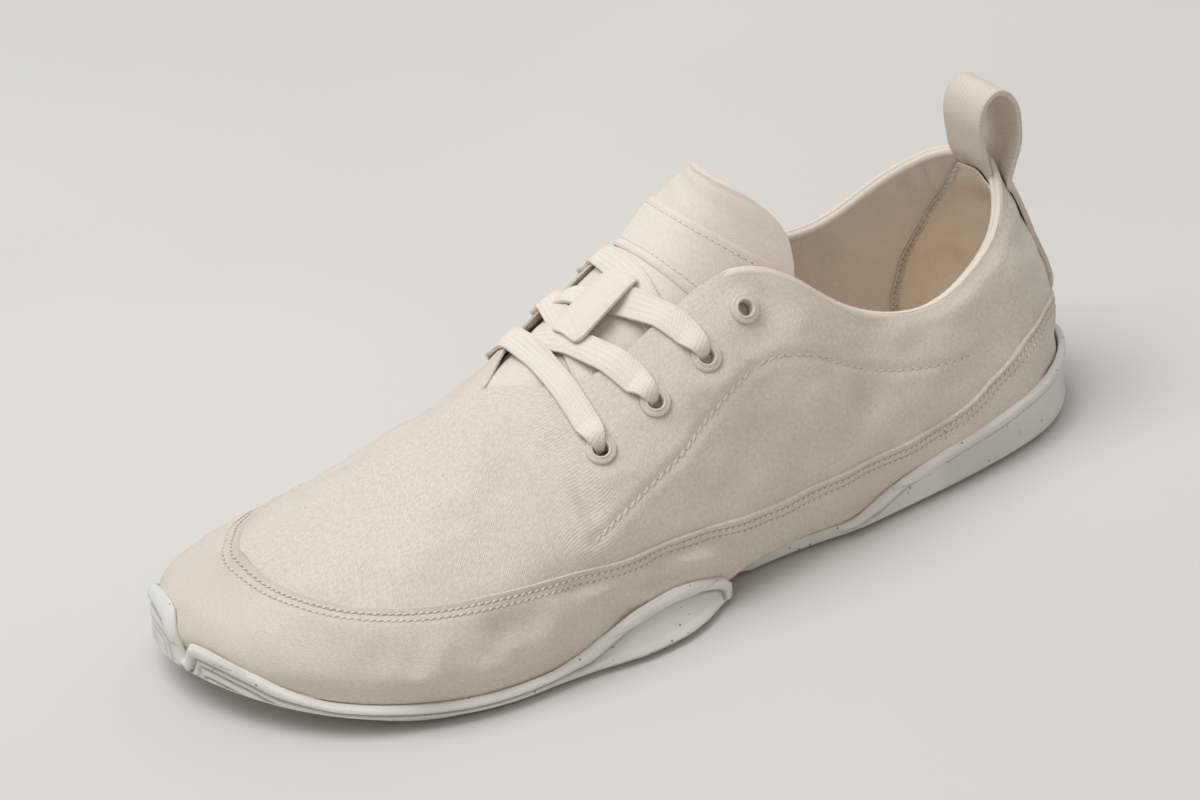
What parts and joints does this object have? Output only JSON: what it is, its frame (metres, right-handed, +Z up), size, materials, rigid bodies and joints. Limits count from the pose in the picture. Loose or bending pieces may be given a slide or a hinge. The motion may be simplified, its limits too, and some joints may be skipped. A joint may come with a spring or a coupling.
{
  "type": "barefoot lace-up shoe",
  "caption": "Left low-cut barefoot shoe: hollow canvas upper on a foot-shaped last, thin rubber outsole with an arch cut, a slot and lapped toe, wing and heel, flat lace and heel pull loop.",
  "frame": {"origin": "on the floor under the middle of the shoe's bounding box", "axes": "+X towards the toe, +Y towards the outer side of the left foot, +Z up"},
  "size_m": [0.2754, 0.1072, 0.1002],
  "materials": {
    "canvas": "matte cotton twill, pale warm beige",
    "rubber": "matte off-white rubber with fine dark specks",
    "board": "dark board below, cloth footbed above",
    "lace": "flat woven cream lace",
    "eyelet": "satin cream paint",
    "webbing": "woven cotton tape"
  },
  "bodies": {
    "root": {"upper": "canvas", "outsole": "rubber", "insole": "board", "tongue": "canvas", "tongue_patch": "canvas", "lace_keeper": "canvas", "lace_bar": "lace", "lace_cross_1": "lace", "lace_cross_2": "lace", "eyelet_lateral_1": "eyelet", "eyelet_lateral_2": "eyelet", "eyelet_lateral_3": "eyelet", "eyelet_lateral_4": "eyelet", "eyelet_medial_1": "eyelet", "eyelet_medial_2": "eyelet", "eyelet_medial_3": "eyelet", "eyelet_medial_4": "eyelet", "pull_loop": "webbing"}
  },
  "joints": []
}
